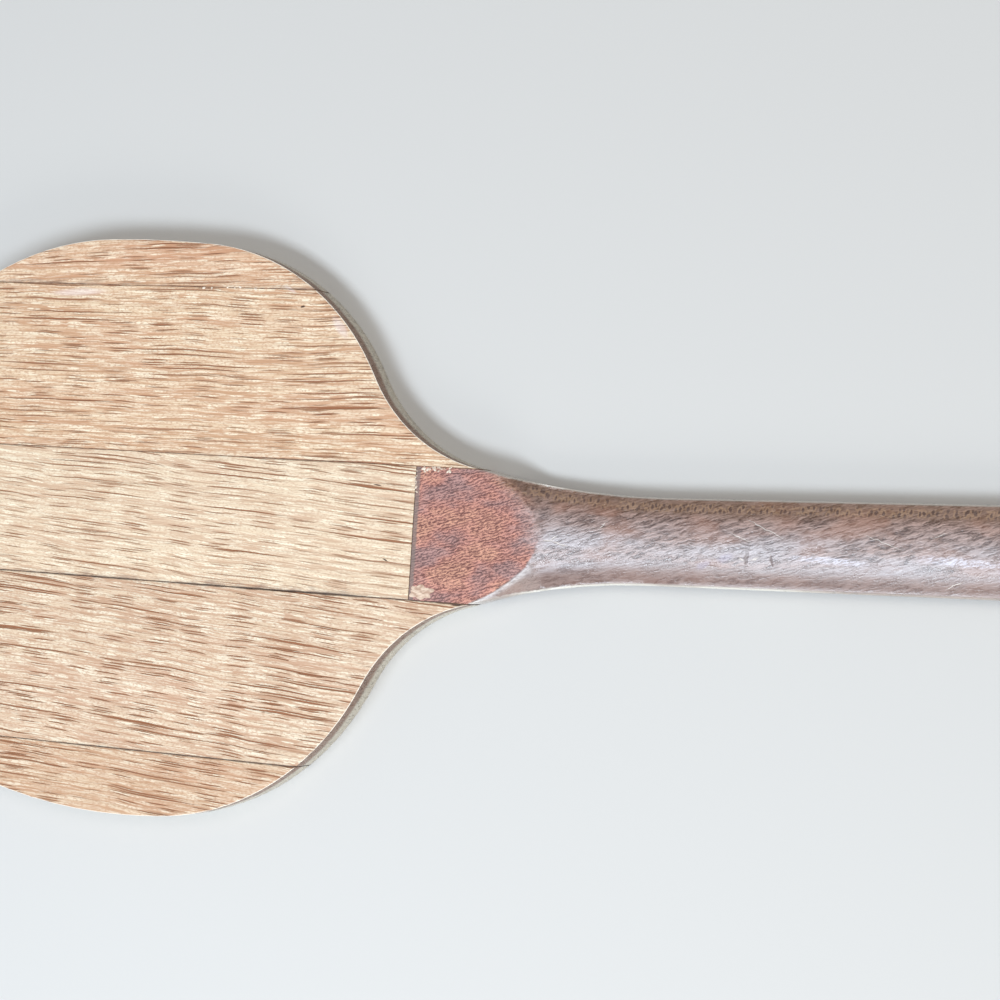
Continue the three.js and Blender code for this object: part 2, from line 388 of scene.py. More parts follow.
def oak_grain(g, wavy, rows, fibres, warmth, contrast, tint):
    """Early and late wood in soft rows, long dark vessels and pale lens-shaped flecks.
    Gives the face's colour, and how dark the vessels make it."""
    patches = g.noise(g.mapping(wavy, (90, 30, 0)), PATCH_SIZE, 3)
    vessels = g.dashes(wavy, VESSEL_SIZE, 0.4)
    short_vessels = g.dashes(g.mapping(wavy, (70, 3, 2)), SHORT_VESSEL_SIZE, 0.5)
    flecks = g.dashes(g.mapping(wavy, (31, 12, 11)), FLECK_SIZE, 0.4)
    chips = g.dashes(g.mapping(wavy, (11, 52, 3)), CHIP_SIZE, 0.4)
    flecks = g.math("MAXIMUM", flecks, chips)
    grit = g.noise(wavy, GRIT_SIZE, 1)

    colour = g.mix(g.band(rows, 0.42, 0.58), OAK_TAN, OAK_PALE)
    colour = g.mix(g.band(patches, 0.42, 0.66, 0, warmth), colour, OAK_PINK)
    colour = g.mix(g.band(fibres, 0.46, 0.62, 0, 0.7), colour, OAK_CREAM)
    colour = g.mix(g.times(flecks, contrast), colour, OAK_CREAM)
    colour = g.mix(g.band(grit, 0.47, 0.65, 0, 0.65), colour, OAK_TAN)
    tint_colour, tint_share = tint
    colour = g.mix(tint_share, colour, tint_colour)
    dark = g.math("MAXIMUM", vessels, g.times(short_vessels, 0.85))
    dark = g.times(dark, g.band(patches, 0.36, 0.6, 0.6 * contrast, 0.9 * contrast))
    return g.mix(dark, colour, OAK_LINE), dark


def oak_beside_joints(g, strip_wise, edges, colour):
    """Old glue and dirt in the joints, and a grey stain in the wood beside them."""
    across = g.separate(strip_wise)[1]
    ragged = g.noise(strip_wise, RAGGED_SIZE, 3)
    length_wise = g.band(g.noise(strip_wise, GLUE_LAPSE_SIZE, 1), 0.4, 0.6, 0.35, 1)
    dirt = 0.0
    for side, (offset, dirtiness, stain) in zip((1, -1), edges):
        inside = g.times(g.minus(across, offset / MM), side)
        ragged_inside = g.math("MULTIPLY_ADD", ragged, -0.7, inside)
        line = g.band(ragged_inside, -0.25, 0.2, dirtiness, 0)
        dirt = g.math("MAXIMUM", g.times(line, length_wise), dirt)
        smear = g.math("MULTIPLY_ADD", ragged, -6, inside)
        smear = g.times(g.band(smear, -3.2, -1.2, stain, 0), length_wise)
        colour = g.mix(smear, colour, SEAM_STAIN)
    return g.mix(dirt, colour, SEAM_DIRT), dirt


def oak_wall(g, here, strip_wise, wall, fibres, colour):
    """The sawn edge, brown above with a painted pale grey reflection below, and a painted
    highlight along its corner.
    """
    height = g.separate(strip_wise)[2]
    level = g.math("MULTIPLY_ADD", g.noise(here, WALL_LEVEL_SIZE, 2), 3, height)
    # painted reflection: the wall's lower part is pale grey, as if its gloss mirrored the
    # lights
    wall_colour = g.mix(g.band(level, 5.8, 8.6), WALL_REFLECTION_GREY, WALL_BROWN)
    wall_colour = g.mix(g.band(fibres, 0.5, 0.7, 0, 0.15), wall_colour, OAK_LINE)
    colour = g.mix(g.band(wall, 0.3, 0.8, 0, 0.92), colour, wall_colour)
    # painted highlight along the chamfered corner of the wall
    arris_highlight = g.times(g.band(wall, 0.15, 0.4), g.band(wall, 0.5, 0.85, 1, 0))
    return g.mix(g.times(arris_highlight, 0.95), colour, ARRIS_HIGHLIGHT)


def oak_material(name, grain_tilt, shift, warmth, contrast, tint, edges):
    """Red oak with its grain along the strip. grain_tilt is its slope against the strip,
    shift picks another piece of the tree, warmth is its share of pink, and tint is a
    colour and how much of it. edges has, for the strip's lower and upper side, the
    offset, how dirty the glue line is, and how stained the wood beside it is."""
    g = Graph(name)
    here = g.position()
    strip_wise = g.mapping(here, turn=-STRIP_TURN)
    wavy = g.mapping(strip_wise, shift, turn=-grain_tilt)
    wavy = g.warp(wavy, (0, 4.0, 2.0), 60)
    wavy = g.warp(wavy, (0, 0.8, 0.6), 14)
    rows = g.noise(wavy, ROW_SIZE, 2, 0.6)
    fibres = g.noise(wavy, FIBRE_SIZE, 2, 0.65)

    colour, dark = oak_grain(g, wavy, rows, fibres, warmth, contrast, tint)
    checks = g.marks(here, OAK_CHECKS)
    colour = g.mix(checks, colour, OAK_CRACK)
    scuffs = g.times(g.marks(here, OAK_SCUFFS), 0.42)
    colour = g.mix(scuffs, colour, SCUFF_PALE)
    colour, dirt = oak_beside_joints(g, strip_wise, edges, colour)
    wall = g.attribute("wall")
    colour = oak_wall(g, here, strip_wise, wall, fibres, colour)

    rough = g.math("MULTIPLY_ADD", wall, -0.28, g.band(rows, 0.3, 0.7, 0.66, 0.5))
    height = g.math("MULTIPLY_ADD", fibres, 0.5, rows)
    height = g.math("MULTIPLY_ADD", dark, -0.5, height)
    height = g.math("MULTIPLY_ADD", g.math("MAXIMUM", dirt, checks), -0.8, height)
    return g.finish(colour, rough, height, OAK_BUMP)


# ---------------------------------------------------------------- mahogany

TONGUE_RED = srgb(108, 56, 48)
TONGUE_PURPLE = srgb(92, 60, 60)
RIPPLE_TAN = srgb(210, 146, 130)
RIPPLE_GOLD = srgb(216, 158, 132)
RIPPLE_GREY = srgb(182, 138, 132)
JOINT_GREY = srgb(124, 108, 102)
GRIP_DARK = srgb(82, 58, 50)
GRIP_LIGHT = srgb(178, 148, 138)
GRIP_OCHRE = srgb(112, 82, 58)
GRIP_ROSE = srgb(124, 102, 96)
GRIP_WARM = srgb(168, 120, 98)
# painted reflection colour of the cool window
GRIP_WINDOW_REFLECTION = srgb(200, 204, 214)
# painted reflection colour of the cool window on a dent
GRIP_LILAC_REFLECTION = srgb(150, 146, 176)
# painted highlight colour
GRIP_HIGHLIGHT_WHITE = srgb(228, 230, 246)
LOOP_TAN = srgb(170, 136, 108)
# painted highlight colour for the grip's edges
RIM_HIGHLIGHT = srgb(232, 230, 220)
# painted highlight colour for the lower crease
LIP_HIGHLIGHT = srgb(222, 220, 222)
# for the scratch marks and the painted glints
SCRATCH_AND_GLINT = srgb(224, 216, 210)

RIDGE_TILT = math.radians(-16)
# sizes of the grain's parts along, across and through the handle, in millimetres
RIDGE_SIZE = (1.2, 0.42, 0.9)
LONG_RIDGE_SIZE = (5.5, 1.1, 1.6)
CLOUD_SIZE = (17, 9, 12)
WINDOW_REFLECTION_SIZE = (36, 6, 9)
EDGE_WANDER_SIZE = (4, 2.5, 3)
BAND_WANDER_SIZE = (26, 30, 30)
LOOP_SIZE = (1.6, 3.0, 1)
MAHOGANY_BUMP = 0.35
MAHOGANY_GLOSS = 0.9
TONGUE_ROUGHNESS = 0.68
RIPPLE_SPACING = 0.95  # between the ridges of the grain, in millimetres
CROWN_RADIUS = 24  # of the grip's rounded faces, in millimetres
FLAT_END = 156  # where the tongue's flat runs out on the axis, in millimetres
RUNOUT_UPPER = 0.58  # how fast the flat runs out into the crown on each side
RUNOUT_LOWER = 0.44

# where features of the grip begin or fade along the handle, in millimetres
LIP_HIGHLIGHT_FADE = (166, 158)
LOOPS_BEGIN = (141, 147)
RIM_HIGHLIGHTS_BEGIN = (128, 134)
LOWER_RIM_HIGHLIGHT_BEGIN = (142, 156)
LOWER_RIM_HIGHLIGHT_FADE = (235, 262)

# marks on the grip's front, each from a point to a point, and its width; the last two are
# painted glints, the rest scratch marks
GRIP_SCRATCHES_AND_GLINTS = (
    ((176.6, 2.8), (179.5, 5.9), 0.5),
    ((157.2, -1.1), (162.6, -0.7), 0.7),
    ((160.2, -0.8), (167.5, -2.8), 0.7),
    ((160.6, -0.6), (163.3, 0.6), 0.55),
    ((224.8, 8.5), (240.2, 1.2), 0.45),
    ((220.4, 3.6), (228.8, 0.3), 0.5),
    ((262.2, 4.8), (277.4, -0.9), 0.4),
    ((288.4, -12.0), (295.8, -9.0), 0.5),
    ((284.0, 3.2), (290.0, 5.6), 0.4),
    # these two are painted glints on the dent
    ((227.4, -5.2), (230.8, -3.7), 1.0),
    ((223.9, -4.2), (226.0, -5.2), 0.7),
)
GRIP_KNOCKS = (
    ((226.9, -1.2), (226.0, -7.2), 1.7),
    ((234.4, -2.4), (235.0, -7.0), 0.9),
    ((223.2, 0.9), (228.6, -0.5), 0.8),
)
# painted reflections of the cool window on the shallow dent, each from a point to a point,
# and its width
GRIP_DENT_REFLECTIONS = (
    ((216.0, -5.8), (223.0, -3.2), 3.4),
    ((209.0, -8.2), (215.4, -5.6), 3.0),
)
# painted highlights where the window's reflection is brightest, each from a point to a
# point, and its width
GRIP_HIGHLIGHT_STREAKS = (
    ((276.0, -2.4), (312.0, -4.4), 3.8),
    ((236.0, -3.4), (270.0, -5.2), 3.2),
)


def crown_and_wear(g, here, edge_wander):
    """How far the crown lies below the tongue's flat, and where use has worn the wood."""
    x, y = g.separate(here)[:2]
    slope = g.band(y, -0.5, 0.5, RUNOUT_LOWER, RUNOUT_UPPER)
    past_flat = g.times(slope, g.minus(x, FLAT_END))
    crown_depth = g.math("MULTIPLY_ADD", g.times(y, y), 0.5 / CROWN_RADIUS, past_flat)
    crisp = g.band(g.math("MULTIPLY_ADD", edge_wander, 0.7, crown_depth), 0.25, 0.7)
    faded = g.band(g.math("MULTIPLY_ADD", edge_wander, 3, crown_depth), -3, 3.8)
    upper_share = g.band(y, -8, 2)
    worn = g.math("MULTIPLY_ADD", upper_share, g.minus(faded, crisp), crisp)
    return crown_depth, g.math("MAXIMUM", worn, g.attribute("wall"))


def ridges_of(g, here, tilted):
    """Short ridges combed into fine lines."""
    combed = g.warp(g.mapping(here, turn=RIDGE_TILT), (1, 2.2, 1), 6)
    across = g.separate(combed)[1]
    ripple = g.math("SINE", g.times(across, 2 * math.pi / RIPPLE_SPACING))
    ridges = g.noise(tilted, RIDGE_SIZE, 2, 0.65, 0.4)
    return g.math("MULTIPLY_ADD", ripple, 0.06, ridges)


def tongue_colour(g, here, ridge_tone, long_tone, clouds, edge_wander):
    """Brick red with tan ridges, purple clouds, and grey beside the butt joint."""
    cloud_tone = g.band(clouds, 0.36, 0.54)
    shade = g.mix(cloud_tone, TONGUE_PURPLE, TONGUE_RED)
    light = g.mix(cloud_tone, RIPPLE_GREY, RIPPLE_TAN)
    light = g.mix(g.band(clouds, 0.48, 0.66), light, RIPPLE_GOLD)
    tone = g.math("MULTIPLY_ADD", long_tone, 0.25, g.times(ridge_tone, 0.75))
    colour = g.mix(tone, shade, light)
    along = g.separate(g.mapping(here, turn=-STRIP_TURN))[0]
    joint_gap = g.minus(along, JOINT_U / MM)
    joint_gap = g.math("MULTIPLY_ADD", edge_wander, -0.8, joint_gap)
    return g.mix(g.band(joint_gap, 0.9, 1.6, 0.8, 0), colour, JOINT_GREY)


def grip_bands(g, here, grip_tone, clouds, wander, upper_gap, lower_gap):
    """An ochre band along the upper side, a painted reflection of the window along the
    middle, and a rosy band below.
    """
    colour = g.mix(grip_tone, GRIP_DARK, GRIP_LIGHT)
    colour = g.mix(g.band(clouds, 0.46, 0.64, 0, 0.45), colour, GRIP_WARM)
    low_band = g.band(g.math("MULTIPLY_ADD", wander, 4, lower_gap), 8, 10.5, 1, 0)
    colour = g.mix(g.times(low_band, 0.7), colour, GRIP_ROSE)
    ochre_band = g.band(g.math("MULTIPLY_ADD", wander, -4, upper_gap), 1.0, 5.5, 1, 0)
    colour = g.mix(g.times(ochre_band, 0.6), colour, GRIP_OCHRE)
    # painted reflection: a pale blue-white streak along the grip's middle, where the cool
    # window would be mirrored
    window_reflection = g.noise(g.mapping(here, (70, 0, 0)), WINDOW_REFLECTION_SIZE, 3)
    window_reflection = g.band(window_reflection, 0.25, 0.7, 0.25, 1)
    window_reflection = g.times(window_reflection, g.times(g.band(upper_gap, 5, 16), g.band(lower_gap, 4, 8)))
    window_reflection = g.times(window_reflection, g.band(grip_tone, 0.2, 0.8, 0.5, 1))
    return g.mix(g.times(window_reflection, 0.6), colour, GRIP_WINDOW_REFLECTION)


def crease_lip_highlight(g, here, crown_depth, ridges, colour):
    """A painted highlight where the lower crease turns down."""
    x, y = g.separate(here)[:2]
    # painted highlight where the lower crease turns down
    lip_highlight = g.times(g.band(crown_depth, 0.2, 0.5), g.band(crown_depth, 0.5, 1.9, 1, 0))
    lip_highlight = g.times(lip_highlight, g.times(g.band(y, -8, -12), g.band(x, *LIP_HIGHLIGHT_FADE)))
    lip_highlight = g.times(lip_highlight, g.band(ridges, 0.3, 0.6, 0.5, 1))
    return g.mix(g.times(lip_highlight, 0.65), colour, LIP_HIGHLIGHT)


def grain_loops(g, x, upper_gap, colour):
    """Little loops of grain in an irregular row along the ochre band."""
    curly = g.warp(g.combine(x, upper_gap), (1.3, 1.2, 0), 1.3)
    loops, chosen = g.cells(curly, LOOP_SIZE, flat=True)
    rings = g.band(g.math("ABSOLUTE", g.minus(loops, 0.42)), 0.04, 0.2, 1, 0)
    row = g.times(g.band(upper_gap, 1.4, 2.2), g.band(upper_gap, 3.8, 5.4, 1, 0))
    row = g.times(row, g.band(x, *LOOPS_BEGIN))
    rings = g.times(g.times(rings, row), g.band(chosen, 0.1, 0.6, 0.25, 0.65))
    hollows = g.times(g.band(loops, 0.14, 0.36, 0.75, 0), row)
    colour = g.mix(hollows, colour, GRIP_DARK)
    return g.mix(rings, colour, LOOP_TAN)


def grip_marks(g, here, ridges, colour):
    """Painted reflections on a dent, painted highlight streaks, knocks, and scratch marks
    with painted glints among them, and how deep the last two go.
    """
    uneven = g.warp(g.mapping(here, (-0.6, -0.6, 0)), (1.2, 1.2, 0), 2.2)
    # painted reflection: lilac over the dent
    dent_reflections = g.times(g.marks(uneven, GRIP_DENT_REFLECTIONS), 0.32)
    colour = g.mix(dent_reflections, colour, GRIP_LILAC_REFLECTION)
    # painted highlight streaks, stronger on the ridges
    highlight_streaks = g.times(g.marks(uneven, GRIP_HIGHLIGHT_STREAKS), g.band(ridges, 0.38, 0.6, 0.1, 0.6))
    colour = g.mix(highlight_streaks, colour, GRIP_HIGHLIGHT_WHITE)
    knocks = g.marks(uneven, GRIP_KNOCKS)
    colour = g.mix(g.times(knocks, 0.55), colour, GRIP_DARK)
    # scratch marks, with two painted glints among them
    scratches_and_glints = g.marks(uneven, GRIP_SCRATCHES_AND_GLINTS)
    colour = g.mix(g.times(scratches_and_glints, 0.8), colour, SCRATCH_AND_GLINT)
    return colour, g.math("MAXIMUM", scratches_and_glints, knocks)


def grip_rim_highlights(g, x, wander, upper_gap, lower_gap, colour):
    """Painted highlights along both edges of the grip."""
    # painted highlights along the grip's lower and upper edges
    lower_rim_highlight = g.times(g.band(lower_gap, 0.3, 1.0, 1, 0), g.band(wander, 0.3, 0.5, 0.6, 1))
    lower_rim_highlight = g.times(lower_rim_highlight, g.band(x, *LOWER_RIM_HIGHLIGHT_BEGIN, 0.4, 1))
    lower_rim_highlight = g.times(lower_rim_highlight, g.band(x, *LOWER_RIM_HIGHLIGHT_FADE, 1, 0.4))
    upper_rim_highlight = g.band(upper_gap, 0.2, 0.8, 0.7, 0)
    # both edges' painted highlights together
    rim = g.times(g.math("MAXIMUM", lower_rim_highlight, upper_rim_highlight), g.band(x, *RIM_HIGHLIGHTS_BEGIN))
    return g.mix(g.times(rim, 0.85), colour, RIM_HIGHLIGHT)


def mahogany_relief(g, worn, ridges, long_ridges, lower_gap):
    """The wood's roughness and the height of its ridges, both less where it is worn."""
    rough = g.band(long_ridges, 0.35, 0.65, 0.26, 0.38)
    gloss = g.minus(rough, TONGUE_ROUGHNESS)
    rough = g.math("MULTIPLY_ADD", worn, gloss, TONGUE_ROUGHNESS)
    long_share = g.math("MULTIPLY_ADD", worn, 0.9, 0.3)
    height = g.math("MULTIPLY_ADD", long_ridges, long_share, g.times(ridges, 0.75))
    height = g.times(height, g.math("MULTIPLY_ADD", worn, -0.3, 1.0))
    return rough, g.times(height, g.band(lower_gap, 5, 9, 0.35, 1))


def mahogany_material():
    """Brick red and matt on the tongue's flat, brown and polished by the hand beyond it."""
    g = Graph("mahogany")
    here = g.position()
    x = g.separate(here)[0]
    tilted = g.warp(g.mapping(here, turn=RIDGE_TILT), (1.0, 1.4, 1.0), 3)
    edge_wander = g.noise(here, EDGE_WANDER_SIZE, 3)
    crown_depth, worn = crown_and_wear(g, here, edge_wander)
    ridges = ridges_of(g, here, tilted)
    ridge_tone = g.band(ridges, 0.43, 0.57)
    long_ridges = g.noise(tilted, LONG_RIDGE_SIZE, 2, 0.6, 0.4)
    long_tone = g.band(long_ridges, 0.38, 0.62)
    clouds = g.noise(g.mapping(here, (14, 9, 0)), CLOUD_SIZE, 3)
    flat_colour = tongue_colour(g, here, ridge_tone, long_tone, clouds, edge_wander)

    upper_gap = g.attribute("upper_gap")
    lower_gap = g.attribute("lower_gap")
    wander = g.noise(here, BAND_WANDER_SIZE, 2)
    grip_tone = g.math("MULTIPLY_ADD", ridge_tone, 0.35, g.times(long_tone, 0.65))
    grip_colour = grip_bands(g, here, grip_tone, clouds, wander, upper_gap, lower_gap)
    grip_colour = crease_lip_highlight(g, here, crown_depth, ridges, grip_colour)
    grip_colour = grain_loops(g, x, upper_gap, grip_colour)
    grip_colour, marked = grip_marks(g, here, ridges, grip_colour)
    grip_colour = grip_rim_highlights(g, x, wander, upper_gap, lower_gap, grip_colour)

    colour = g.mix(worn, flat_colour, grip_colour)
    rough, height = mahogany_relief(g, worn, ridges, long_ridges, lower_gap)
    height = g.math("MULTIPLY_ADD", marked, -0.4, height)
    g.shader.inputs["Specular IOR Level"].default_value = MAHOGANY_GLOSS
    return g.finish(colour, rough, height, MAHOGANY_BUMP)


# ---------------------------------------------------------------- mesh helpers

MERGE_DISTANCE = 0.002 * MM
CUT_TOLERANCE = 0.0005 * MM
FLATTEN_ANGLE = math.radians(0.5)  # neighbouring facets flatter than this become one
SMOOTH_ANGLE = 35  # in degrees; edges sharper than this stay sharp


def copy_of_node(node):
    """A CAD node's mesh, with its facets joined into flat faces."""
    work = bmesh.new()
    work.from_mesh(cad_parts[node].data)
    bmesh.ops.remove_doubles(work, verts=work.verts, dist=MERGE_DISTANCE)
    bmesh.ops.dissolve_limit(
        work, angle_limit=FLATTEN_ANGLE, verts=work.verts, edges=work.edges
    )
    return work


def cut(work, geometry, point, direction):
    bmesh.ops.bisect_plane(
        work, geom=geometry, dist=CUT_TOLERANCE, plane_co=point, plane_no=direction
    )


def slice_along(work, direction, step):
    """Cuts a mesh by evenly spaced planes square to direction."""
    offsets = [vert.co.dot(direction) for vert in work.verts]
    first, last = min(offsets), max(offsets)
    count = math.ceil((last - first) / step)
    for i in range(1, count):
        offset = first + (last - first) * i / count
        everything = work.verts[:] + work.edges[:] + work.faces[:]
        cut(work, everything, direction * offset, direction)


def object_from(work, name, material, smooth_angle=SMOOTH_ANGLE):
    """Makes a piece of the finished mesh, with one material."""
    bmesh.ops.recalc_face_normals(work, faces=work.faces)
    for face in work.faces:
        face.smooth = True
    for edge in work.edges:
        if len(edge.link_faces) == 2:
            edge.smooth = edge.calc_face_angle(0) < math.radians(smooth_angle)
    mesh = bpy.data.meshes.new(name)
    work.to_mesh(mesh)
    work.free()
    mesh.materials.append(material)
    piece = bpy.data.objects.new(name, mesh)
    bpy.context.scene.collection.objects.link(piece)
    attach(piece, "root")
    return piece


# ---------------------------------------------------------------- strips

GRID = 3 * MM  # spacing of the cuts that give the strips their working mesh
WALL_STEP = 1.8 * MM
PLANING_WAVE = 0.05 * MM  # depth of the plane's waves in the faces
PLANING_RATE = (14, 30)  # waves per metre, along and across
WALL_WAVE = 0.16 * MM
WALL_RATE = (90, 160)  # waves per metre, around and up the wall
STRIP_SEED_STEP = 3.7


def on_outline(point):
    """True on the head's outer wall, false on the sides that face another piece."""
    u, v = point.dot(ALONG), point.dot(ACROSS)
    if any(abs(v - seam) < GLUE_GAP for seam in SEAMS):
        return False
    return not (SEAMS[2] < v < SEAMS[1] and abs(u - JOINT_U) < GLUE_GAP)


def mark_walls(work):
    """Gives each face corner its share of outer wall, none on the sides facing a piece."""
    wall = work.loops.layers.float.new("wall")
    for face in work.faces:
        flat = abs(face.normal.z) > FACE_TILT
        square = max(abs(face.normal.dot(ACROSS)), abs(face.normal.dot(ALONG))) > 0.99
        joined = square and not on_outline(face.calc_center_median())
        for loop in face.loops:
            level = min(1, 1.6 * (1 - abs(loop.vert.normal.z)))
            if joined or (flat and not on_outline(loop.vert.co)):
                level = 0
            loop[wall] = level


def make_strip(node, material, seed):
    """One oak strip, with the plane's faint waves and a wall that isn't quite even."""
    work = copy_of_node(node)
    slice_along(work, ALONG, GRID)
    slice_along(work, ACROSS, GRID)
    slice_along(work, UP, WALL_STEP)
    work.normal_update()
    mark_walls(work)
    for vert in work.verts:
        outer = on_outline(vert.co)
        u, v = vert.co.dot(ALONG), vert.co.dot(ACROSS)
        if abs(vert.normal.z) > FACE_TILT:
            along, across = PLANING_RATE
            wave = noise.noise(Vector((u * along + seed, v * across, seed)))
            vert.co.z -= vert.normal.z * PLANING_WAVE * (0.5 + 0.5 * wave)
        elif abs(vert.normal.z) < WALL_TILT and outer:
            around, up = WALL_RATE
            ripple = noise.noise(Vector((u * around, v * around, vert.co.z * up + seed)))
            vert.co -= vert.normal * WALL_WAVE * (0.5 + 0.5 * ripple)
    piece = object_from(work, "oak_" + node, material)
    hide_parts(node)


def make_head():
    for index, node in enumerate(STRIPS):
        tilt, shift, warmth, contrast, tint = GRAIN[node]
        edges = (LINES_BELOW[index], LINES_ABOVE[index])
        oak = oak_material(
            "oak_" + node, math.radians(tilt), shift, warmth, contrast, tint, edges
        )
        make_strip(node, oak, STRIP_SEED_STEP * index)


# ---------------------------------------------------------------- handle

HANDLE_STEP = 1.5 * MM
SNAP = 0.35 * MM  # how far a faceted CAD point may be from the true crown
SIDE_INSET = 1.4 * MM  # the sides turn down this far inside the outline
CROWN_BEND = 1 / (2 * CROWN_RADIUS * MM)
CREASE_ANGLE = 22
DENT_RATE = 900  # roughness of the knocks, in waves per metre
# each knock's middle, radius and depth, in millimetres
DENTS = (
    ((227.5, -4.6), 3.4, 0.3),
    ((231.0, -6.4), 2.2, 0.35),
    ((234.5, -5.4), 2.6, 0.25),
    ((214.5, -6.2), 5.0, 0.15),
)


def crown_height(x, y):
    """Height of the handle's face above its middle plane."""
    slope = RUNOUT_UPPER if y > 0 else RUNOUT_LOWER
    lift = slope * max(0, FLAT_END * MM - x)
    return THICKNESS / 2 + min(0, lift - y * y * CROWN_BEND)


def crease_y(x, side):
    """Where the tongue's flat meets the crown, on the side given as 1 or -1."""
    slope = RUNOUT_UPPER if side > 0 else RUNOUT_LOWER
    return side * math.sqrt(slope * max(0, FLAT_END * MM - x) / CROWN_BEND)


def cut_crease(work, side):
    """Adds edges along the crease, one slab of the sliced handle at a time."""
    start = min(vert.co.x for vert in work.verts)
    steps = math.ceil((FLAT_END * MM - start) / HANDLE_STEP)
    corners = [
        Vector((x, crease_y(x, side), 0))
        for x in (start + (FLAT_END * MM - start) * i / steps for i in range(steps + 1))
    ]
    for corner in corners[1:-1]:
        everything = work.verts[:] + work.edges[:] + work.faces[:]
        cut(work, everything, corner, Vector((1, 0, 0)))
    for first, second in zip(corners, corners[1:]):
        faces = [
            face for face in work.faces
            if first.x < face.calc_center_median().x < second.x
        ]
        edges = {edge for face in faces for edge in face.edges}
        verts = {vert for face in faces for vert in face.verts}
        way = second - first
        cut(work, [*verts, *edges, *faces], first, Vector((-way.y, way.x, 0)))


def outline_of(work):
    """Lowest and highest y of a sliced mesh, in slots one step long."""
    outline = {}
    for vert in work.verts:
        slot = round(vert.co.x / HANDLE_STEP)
        low, high = outline.get(slot, (vert.co.y, vert.co.y))
        outline[slot] = (min(low, vert.co.y), max(high, vert.co.y))
    return outline


def dent_depth(point):
    """Depth of the knocks in the grip's front at a point."""
    depth = 0
    for middle, radius, deepest in DENTS:
        distance = (point.xy / MM - Vector(middle)).length / radius
        rough = 0.7 + 0.6 * noise.noise(point * DENT_RATE)
        depth = max(depth, deepest * rough * max(0, 1 - distance * distance))
    return depth * MM


def soften_upper_crease(mesh):
    """Lets the flat fade into the crown on the upper side, where the hand has rubbed it."""
    for edge in mesh.edges:
        start, end = (mesh.vertices[index].co for index in edge.vertices)
        middle = (start + end) / 2
        if middle.y > 0 and abs(middle.y - crease_y(middle.x, 1)) < GLUE_GAP:
            edge.use_edge_sharp = False


def make_handle(material):
    """The handle with a true round crown, knocks in its front and a crease at the flat."""
    work = copy_of_node("handle")
    cut_crease(work, 1)
    cut_crease(work, -1)
    slice_along(work, Vector((1, 0, 0)), HANDLE_STEP)
    slice_along(work, Vector((0, 1, 0)), HANDLE_STEP)
    wall = work.verts.layers.float.new("wall")
    upper_gap = work.verts.layers.float.new("upper_gap")
    lower_gap = work.verts.layers.float.new("lower_gap")
    outline = outline_of(work)
    work.normal_update()
    for vert in work.verts:
        low, high = outline[round(vert.co.x / HANDLE_STEP)]
        vert[upper_gap] = (high - vert.co.y) / MM
        vert[lower_gap] = (vert.co.y - low) / MM
        vert[wall] = 1 if abs(vert.normal.z) < WALL_TILT else 0
        side = 1 if vert.co.z > MIDDLE_Z else -1
        height = abs(vert.co.z - MIDDLE_Z)
        crown = crown_height(vert.co.x, vert.co.y)
        inside = min(high - vert.co.y, vert.co.y - low) > SIDE_INSET
        if inside and abs(height - crown) < SNAP:
            if side > 0:
                crown -= dent_depth(vert.co)
            vert.co.z = MIDDLE_Z + side * crown
    piece = object_from(work, "mahogany_handle", material, CREASE_ANGLE)
    soften_upper_crease(piece.data)
    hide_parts("handle")


# ---------------------------------------------------------------- glue

GLUE_SHRINK = (0.998, 0.97)  # the glue stops short of the faces along and through the joint
CLOT_SIZE = (2.2, 1.1, 1.1)
GLUE_BUMP = 0.2

# each glue's dark and light colour, and its roughness
OLD_GLUE = (srgb(58, 44, 36), srgb(104, 80, 62), 0.6)
BROWN_GLUE = (srgb(104, 72, 50), srgb(158, 120, 92), 0.6)
CLEAR_GLUE = (srgb(184, 160, 142), srgb(240, 228, 212), 0.25)
FILLER = (srgb(182, 150, 130), srgb(226, 204, 184), 0.7)

# rows of beads, each from a point to a point, with a count and how far they stray
JOINT_BEADS = ((112.4, 20.6), (112.7, 13.8), 9, 0.35)
TOP_BEADS = ((114.0, 21.2), (126.0, 21.2), 20, 0.8)
SEAM_BEADS = ((29.0, 81.8), (50.5, 81.3), 6, 0.5)
BEAD_WIDTHS = (0.6, 1.3)  # times the row's own bead size
BEAD_LENGTHS = (0.9, 1.9)  # times the bead's width
BEAD_HEIGHT = 0.16
BEAD_SWELL = 0.35
BEAD_SMOOTH_ANGLE = 80

FILLER_PATCH = ((115.7, -19.2), (3.7, 2.5))  # its middle, and its reach to each side
FILLER_HEIGHT = 0.22 * MM
FILLER_SINK = 0.15 * MM
FILLER_LIFT = -0.01 * MM
FILLER_SMOOTH_ANGLE = 60


def glue_material(name, dark, light, roughness):
    g = Graph(name)
    here = g.position()
    clots = g.noise(here, CLOT_SIZE, 3)
    colour = g.mix(g.band(clots, 0.35, 0.65), dark, light)
    rough = g.band(clots, 0.3, 0.7, roughness, roughness + 0.2)
    return g.finish(colour, rough, clots, GLUE_BUMP)


